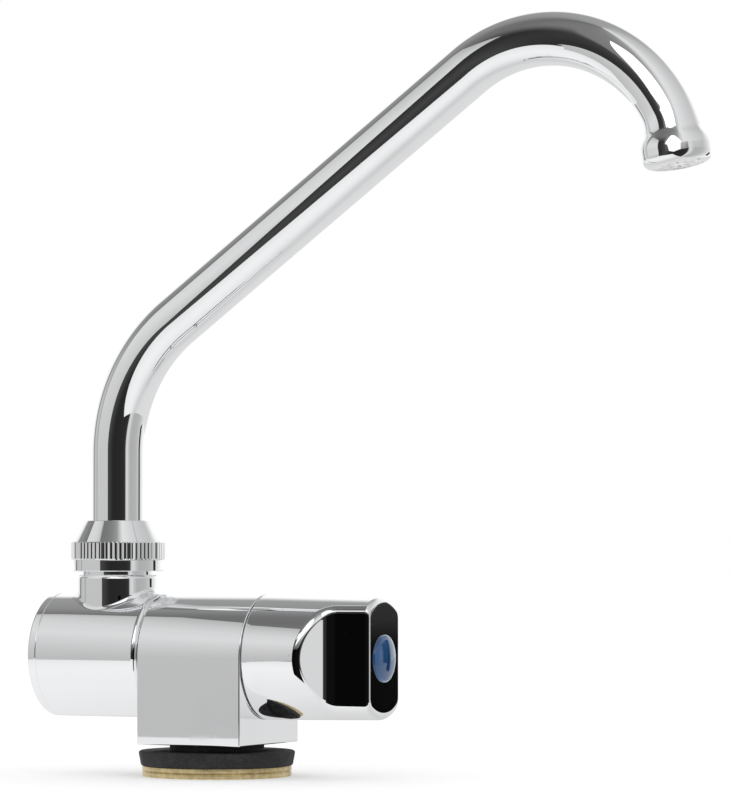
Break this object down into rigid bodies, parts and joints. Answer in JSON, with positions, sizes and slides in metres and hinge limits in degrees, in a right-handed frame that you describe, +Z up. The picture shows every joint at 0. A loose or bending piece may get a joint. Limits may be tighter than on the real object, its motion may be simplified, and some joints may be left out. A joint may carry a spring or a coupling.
{
  "type": "swivel cold water tap",
  "caption": "Chrome fold-down cold water tap: block on a threaded shank, scooped bar handle with blue cap, folding barrel with knurled union nut and swivelling arched spout.",
  "frame": {"origin": "on the shank's axis in the plane of the block's underside, which rests on the sink", "axes": "+Z up from the sink, +X from the barrel towards the handle, -Y the side the spout folds to"},
  "size_m": [0.2139, 0.047, 0.2237],
  "materials": {
    "chrome": "polished plating",
    "brass": "turned, unplated",
    "black_rubber": "moulded, matt",
    "grey_plastic": "moulded, satin",
    "blue_plastic": "glossy",
    "white_ceramic": "lapped",
    "steel": "plain"
  },
  "bodies": {
    "base": {"valve_block": "chrome", "mounting_shank": "brass", "inlet_seal": "black_rubber", "foot_gasket": "black_rubber", "ring_nut": "brass", "cartridge_body": "brass", "cartridge_washer": "black_rubber", "seat_seal": "black_rubber", "fixed_ceramic_disc": "white_ceramic", "handle_glide_ring": "grey_plastic", "pivot_spigot": "brass", "pivot_o_rings": "black_rubber", "thrust_washer": "grey_plastic", "fold_stop_pin": "steel", "pivot_keeper": "steel", "pivot_screw": "steel"},
    "barrel": {"spout_barrel": "chrome", "barrel_end_cap": "chrome", "union_nut": "chrome", "lower_slip_ring": "grey_plastic", "upper_slip_ring": "grey_plastic"},
    "spout": {"spout_tube": "chrome", "spout_nipple": "brass", "spout_o_rings": "black_rubber", "outlet_nozzle": "chrome", "aerator_seal": "black_rubber", "aerator_mesh": "steel", "aerator_housing": "grey_plastic", "flow_straightener": "grey_plastic"},
    "handle": {"handle_knob": "chrome", "handle_screw": "steel", "index_cap": "blue_plastic", "valve_spindle": "brass", "moving_ceramic_disc": "white_ceramic", "spindle_o_rings": "black_rubber", "spindle_clip": "steel"}
  },
  "joints": [
    {"name": "spout_fold", "type": "hinge", "parent": "base", "child": "barrel", "pos_m": [-0.034, 0, 0.026], "axis": [1, 0, 0], "range_deg": [0, 90]},
    {"name": "spout_swivel", "type": "hinge", "parent": "barrel", "child": "spout", "pos_m": [-0.034, 0, 0.06], "axis": [0, 0, 1], "continuous": true},
    {"name": "handle_turn", "type": "hinge", "parent": "base", "child": "handle", "pos_m": [0.036, 0, 0.026], "axis": [1, 0, 0], "range_deg": [0, 90]}
  ]
}
